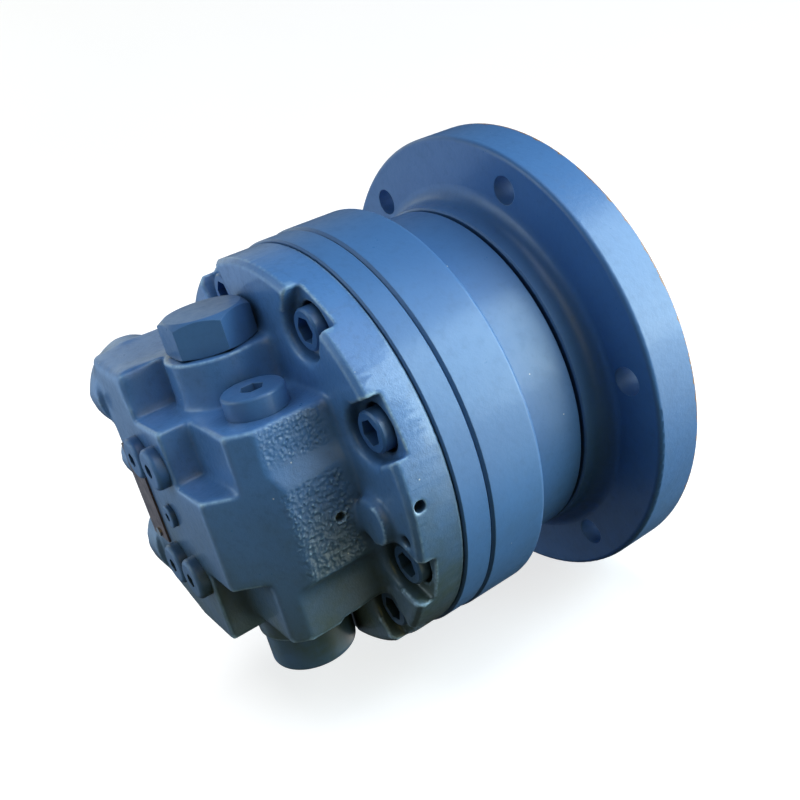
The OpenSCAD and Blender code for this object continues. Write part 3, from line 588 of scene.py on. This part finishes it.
def machined_mask(points):
    """0 on the housing's turned and hidden faces, 1 on its raw cast faces, between in the ports."""
    x, y, z = points.T
    radius = np.hypot(y, z)
    rim_side = ramp(radius, RIM_R - RIM_BAND, RIM_R - FACE_BAND)
    free = 1 - rim_side * ramp(x, RIM_BACK - RIM_EDGE, RIM_BACK)
    free *= ramp(x, RIM_FRONT, RIM_FRONT - FACE_BAND)
    free[(x > RIM_BACK - DISTRIBUTOR_DEPTH) & (radius < DISTRIBUTOR_BORE_R)] = 0
    free[(x > RIM_BACK + MOUTH_FROM) & (radius < MOUTH_BORE_R)] = 0
    free[np.hypot(x - SPOOL_X, y) < SPOOL_BORE_R] = 0
    for name in ("port_a", "port_b", "drain_port"):
        at = mounts[name]["pos_m"]
        reach = mounts[name]["dims"]["r_mm"] / 1000 + PORT_MARGIN
        free[(np.hypot(x - at[0], z - at[2]) < reach) & (y > PORT_FROM)] = PORT_SOFTNESS
    return free


def relief_at(x, z):
    """The height of the sand-cast skin at one place of the side face."""
    at = Vector((x, 0.0, z))
    skin = FINE if z > ROUGH_ZONES[1][0] else COARSE
    wide = noise.noise(at * WIDE_WAVES)
    grain = noise.noise(at * skin["grain"] + Vector((7.0, 0.0, 0.0)))
    sharp = noise.noise(at * skin["sharp"] + Vector((0.0, 5.0, 0.0)))
    pit = max(0.0, -noise.noise(at * PIT_WAVES + Vector((0.0, 0.0, 9.0))) - PIT_LEVEL)
    return (0.35 * wide + 0.75 * grain + 0.45 * sharp - 1.6 * pit) * skin["share"]


def rough_relief(points):
    """How far the uneven side faces stand in or out, at each point."""
    x, y, z = points.T
    zone = sum(ramp(z, low, low + ROUGH_FADE) * ramp(z, high, high - ROUGH_FADE) for low, high in ROUGH_ZONES)
    zone = zone * ramp(x, ROUGH_START, ROUGH_FULL) * ramp(x, ROUGH_END, ROUGH_FULL_TO)
    zone *= y < BLOCK_SIDE + SIDE_REACH
    relief = np.zeros(len(points))
    for i in np.nonzero(zone)[0]:
        relief[i] = zone[i] * relief_at(x[i], z[i])
    return relief


def side_hole(points):
    """How far a small drilled hole takes the side face in, and its paint lip out, at each point."""
    x, y, z = points.T
    reach = np.hypot(x - SIDE_HOLE[0], z - SIDE_HOLE[1]) - SIDE_HOLE_R
    inside = ramp(reach, SIDE_HOLE_EDGE, -SIDE_HOLE_EDGE)
    lip = ramp(reach, 0.0, LIP_INSIDE) * ramp(reach, LIP_END, LIP_OUTSIDE)
    return (inside * SIDE_HOLE_DEPTH - lip * LIP_HEIGHT) * (y < BLOCK_SIDE + SIDE_HOLE_REACH)


def refine_side(mesh):
    """Splits the squares of the uneven side faces, so that their relief has room."""
    shape = bmesh.new()
    shape.from_mesh(mesh)
    low, high = ROUGH_ZONES[0][0] - SIDE_REACH, ROUGH_ZONES[1][1] + SIDE_REACH
    edges = set()
    for face in shape.faces:
        middle = face.calc_center_median()
        on_side = face.normal.y < FACES_SIDE and middle.y < BLOCK_SIDE + SIDE_REACH
        in_length = ROUGH_START - SIDE_REACH < middle.x < RIM_BACK - RIM_EDGE
        if on_side and in_length and low < middle.z < high:
            edges.update(face.edges)
    bmesh.ops.subdivide_edges(shape, edges=list(edges), cuts=1, use_grid_fill=True)
    shape.to_mesh(mesh)
    shape.free()


def rounded_like_cast(mesh):
    """The grid's points with inside corners filled and edges rounded, foot and crown the most."""
    points = points_of(mesh)
    edges = edges_of(mesh)
    free = machined_mask(points)
    raw = free * (free > PORT_SOFTNESS) * (points[:, 0] < FILLET_END)
    points = filleted(mesh, points, edges, raw, FILLET_STEPS)
    points = smoothed(points, edges, free, ROUND_STEPS)
    x, y, z = points.T
    foot = ramp(x, FOOT_FROM, FOOT_FULL) * ramp(x, FOOT_END, FOOT_FULL_TO)
    foot = foot * free * (np.hypot(y, z) < RIM_R - FOOT_INSIDE)
    boss = np.hypot(y - RIM_BOSS[0], z - RIM_BOSS[1]) < RIM_BOSS_R
    points = smoothed(points, edges, foot * ~boss, FOOT_STEPS)
    x, y, z = points.T
    crown = ramp(x, CROWN_END, CROWN_FULL_TO) * ramp(z, CROWN_LOW, CROWN_HIGH)
    return smoothed(points, edges, crown * free * (y > CROWN_SIDE), CROWN_STEPS)


def thinned(piece):
    """The piece's mesh, decimated towards at most CAST_TRIANGLES triangles."""
    thin = piece.modifiers.new("thin", "DECIMATE")
    thin.ratio = min(1.0, CAST_TRIANGLES / (2 * len(piece.data.polygons)))
    mesh = with_modifiers(piece)
    piece.modifiers.remove(thin)
    return mesh


def cast_housing():
    """The valve housing as a sand casting: raw edges rounded, side faces uneven, machined faces true."""
    mesh = grid_copy(nodes["valve_housing"], GRID)
    set_points(mesh, rounded_like_cast(mesh))
    refine_side(mesh)
    points = points_of(mesh)
    points[:, 1] += side_hole(points) - rough_relief(points) * ROUGH_DEPTH
    mesh.polygons.foreach_set("use_smooth", [True] * len(mesh.polygons))
    set_points(mesh, points)
    piece = new_piece("cast_valve_housing", mesh)
    piece.data = thinned(piece)
    piece.data.materials.clear()
    piece.data.materials.append(cast_paint)
    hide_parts("valve_housing")
    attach(piece, "housing")


cast_housing()


# The front housing, with the fine edge break that paint leaves beside the collar

CASE_BREAK = 0.0016
SAME_RING = 0.0002


def painted_front_housing():
    """The front housing with a narrower chamfer where its case meets the collar."""
    mesh = nodes["front_housing"].data.copy()
    points = points_of(mesh)
    radius = np.hypot(points[:, 1], points[:, 2])
    case_r = radius.max()
    rim_end = points[:, 0].min()
    wall = radius > case_r - SAME_RING
    chamfer_wall = wall & (points[:, 0] < points[wall, 0].min() + SAME_RING)
    face = points[:, 0] < rim_end + SAME_RING
    chamfer_face = face & (radius > radius[face].max() - SAME_RING)
    points[chamfer_wall, 0] = rim_end + CASE_BREAK
    points[chamfer_face, 1:] *= (case_r - CASE_BREAK) / radius[chamfer_face][:, None]
    set_points(mesh, points)
    piece = new_piece("painted_front_housing", mesh)
    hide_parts("front_housing")
    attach(piece, "housing")


painted_front_housing()


# Springs, copied from the imported nodes as they stand


def working_spring(node_name):
    """A spring that the housing holds at one end and a moving body pushes at the other."""
    piece = new_piece("working_" + node_name, nodes[node_name].data.copy())
    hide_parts(node_name)
    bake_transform(piece)


working_spring("top_spool_spring")
working_spring("bottom_spool_spring")
working_spring("relief_spring")


# The camera, where the photograph was taken from

CAMERA_AT = Vector((-0.3798, -0.5076, 0.2238))
LOOK_AZIMUTH = 61.335
LOOK_ELEVATION = -20.916
CAMERA_ROLL = -15.352
FOCAL_LENGTH = 44.09
CAMERA_REACH = 200


def toward(azimuth, elevation):
    """The direction at an azimuth from the shaft axis and an elevation."""
    turn, rise = math.radians(azimuth), math.radians(elevation)
    return Vector((math.cos(turn) * math.cos(rise), math.sin(turn) * math.cos(rise), math.sin(rise)))


def placed_camera():
    """A camera that looks along one direction, rolled about it."""
    data = bpy.data.cameras.new("camera")
    data.lens = FOCAL_LENGTH
    data.clip_end = CAMERA_REACH
    ahead = toward(LOOK_AZIMUTH, LOOK_ELEVATION)
    level = ahead.cross(Vector((0, 0, 1))).normalized()
    roll = math.radians(CAMERA_ROLL)
    right = level * math.cos(roll) + level.cross(ahead) * math.sin(roll)
    turned = Matrix((right, right.cross(ahead), -ahead)).transposed()
    camera = bpy.data.objects.new("camera", data)
    camera.matrix_world = Matrix.Translation(CAMERA_AT) @ turned.to_4x4()
    scene.collection.objects.link(camera)
    return camera


scene.camera = placed_camera()
scene.view_settings.view_transform = "Standard"


# Light: soft patches of a dim room, a key light and two small fills for the block's end

MIDDLE = Vector((-0.1, 0, 0))
FILL_DISTANCE = 0.62
FILL_SIZE = 0.40
PATCH_SHARPNESS = 14
ROOM_GLOW = (0.02, 0.02, 0.02)
# Azimuth, elevation and brightness in red, green and blue
ROOM_PATCHES = {
    "sky_behind_block": (158, 28, (1.5, 1.9, 2.1)),
    "window_at_shaft_end": (0, -8, (5.6, 5.2, 4.6)),
    "low_window": (-45, -8, (2.4, 2.7, 2.2)),
    "far_side": (90, 20, (0.8, 0.9, 0.8)),
    "far_side_low": (125, -5, (0.6, 0.9, 1.3)),
    "sky_above": (-60, 58, (1.4, 1.6, 2.0)),
    "near_side": (-90, 25, (0.6, 0.5, 0.1)),
}


def area_light(name, direction, distance, size, power, colour=(1, 1, 1)):
    """A soft square light that looks at the middle of the motor from a direction."""
    data = bpy.data.lights.new(name, "AREA")
    data.size = size
    data.energy = power
    data.color = colour
    light = bpy.data.objects.new(name, data)
    light.location = MIDDLE + direction * distance
    light.rotation_euler = (-direction).to_track_quat("-Z", "Y").to_euler()
    light.visible_camera = False
    scene.collection.objects.link(light)
    return light


def lights_only(light, names):
    """Lets a light fall on the named objects alone."""
    lit = bpy.data.collections.new(light.name + "_reach")
    for name in names:
        lit.objects.link(bpy.data.objects[name])
    light.light_linking.receiver_collection = lit


def fill_light(name, direction, power, colour, names):
    """A light near the block's end that reaches the named pieces alone and gives no gloss."""
    light = area_light(name, direction, FILL_DISTANCE, FILL_SIZE, power, colour)
    light.visible_glossy = False
    lights_only(light, names)


def room(patches, glow):
    """A dim room: soft patches of light from given directions over a faint even glow."""
    world = bpy.data.worlds.new("studio")
    scene.world = world
    world.use_nodes = True
    tree = world.node_tree
    looking = tree.nodes.new("ShaderNodeTexCoord").outputs["Generated"]
    total = vector_math(tree, "ADD", glow).outputs["Vector"]
    for azimuth, elevation, colour in patches:
        facing = vector_math(tree, "DOT_PRODUCT", looking, toward(azimuth, elevation)).outputs["Value"]
        strength = math_node(tree, "POWER", math_node(tree, "MAXIMUM", facing), PATCH_SHARPNESS)
        patch = vector_math(tree, "SCALE", colour)
        tree.links.new(strength, patch.inputs["Scale"])
        total = vector_math(tree, "ADD", total, patch.outputs["Vector"]).outputs["Vector"]
    tree.links.new(total, tree.nodes["Background"].inputs["Color"])


area_light("key", toward(-42, 21), 1.15, 0.95, 14.5, (0.70, 0.93, 1.0))
end_pieces = ["cast_valve_housing", "nameplate", "nameplate_rivets", *BLOCK_PLUGS]
fill_light("end_fill", toward(190, -8), 0.36, (1.0, 0.86, 0.60), end_pieces)
fill_light("step_fill", toward(200, 62), 0.65, (0.75, 0.9, 1.0), ["cast_valve_housing"])
room(ROOM_PATCHES.values(), ROOM_GLOW)


# A round paper sweep: flat under the motor and curved up on every side

SWEEP_FLAT = 3.0
SWEEP_BEND = 2.0
SWEEP_TOP = 6.0
SWEEP_STEPS = 16
SWEEP_SIDES = 72
FLOOR_GAP = 0.0005
PAPER = (0.42, 0.42, 0.43, 1)
PAPER_PALE = (0.45, 0.45, 0.46, 1)
PAPER_GLOW = 0.72
PAPER_LIGHT_POWER = 100
PAPER_LIGHT_HEIGHT = 3.0
PAPER_LIGHT_SIZE = 3.0


def sweep_mesh(floor_z):
    """A dish of revolution round the motor."""
    profile = [(SWEEP_FLAT / 2, 0.0)]
    for step in range(SWEEP_STEPS + 1):
        bend = math.radians(90) * step / SWEEP_STEPS
        profile.append((SWEEP_FLAT + SWEEP_BEND * math.sin(bend), SWEEP_BEND * (1 - math.cos(bend))))
    profile.append((SWEEP_FLAT + SWEEP_BEND, SWEEP_TOP))
    points = [(0.0, 0.0, floor_z)]
    faces = []
    for ring, (reach, rise) in enumerate(profile):
        first = 1 + ring * SWEEP_SIDES
        for side in range(SWEEP_SIDES):
            turn = math.radians(360) * side / SWEEP_SIDES
            points.append((reach * math.cos(turn), reach * math.sin(turn), floor_z + rise))
            here, beside = first + side, first + (side + 1) % SWEEP_SIDES
            if ring == 0:
                faces.append((0, here, beside))
            else:
                faces.append((here - SWEEP_SIDES, here, beside, beside - SWEEP_SIDES))
    mesh = bpy.data.meshes.new("sweep")
    mesh.from_pydata(points, [], faces)
    mesh.polygons.foreach_set("use_smooth", [True] * len(mesh.polygons))
    return mesh


def paper_material(name):
    """Matt white paper that glows a little of itself."""
    material, tree, shader = new_material(name)
    clouds = noise_value(tree, scale=2.0, detail=2.0, roughness=0.5)
    tree.links.new(mix_colour(tree, clouds, PAPER, PAPER_PALE), shader.inputs["Base Color"])
    shader.inputs["Roughness"].default_value = 0.9
    shader.inputs["Specular IOR Level"].default_value = 0.0
    shader.inputs["Emission Color"].default_value = (1.0, 1.0, 1.0, 1.0)
    shader.inputs["Emission Strength"].default_value = PAPER_GLOW
    return material


def paper_sweep():
    """The floor and backdrop, which throw no light or shadow on the motor."""
    mesh = sweep_mesh(FLANGE_LOW - FLOOR_GAP)
    mesh.materials.append(paper_material("sweep_paper"))
    sweep = new_piece("sweep", mesh)
    sweep.visible_diffuse = False
    sweep.visible_glossy = False
    sweep.visible_shadow = False
    above = Vector((0, 0, 1))
    light = area_light("paper_light", above, PAPER_LIGHT_HEIGHT, PAPER_LIGHT_SIZE, PAPER_LIGHT_POWER)
    lights_only(light, ["sweep"])


paper_sweep()
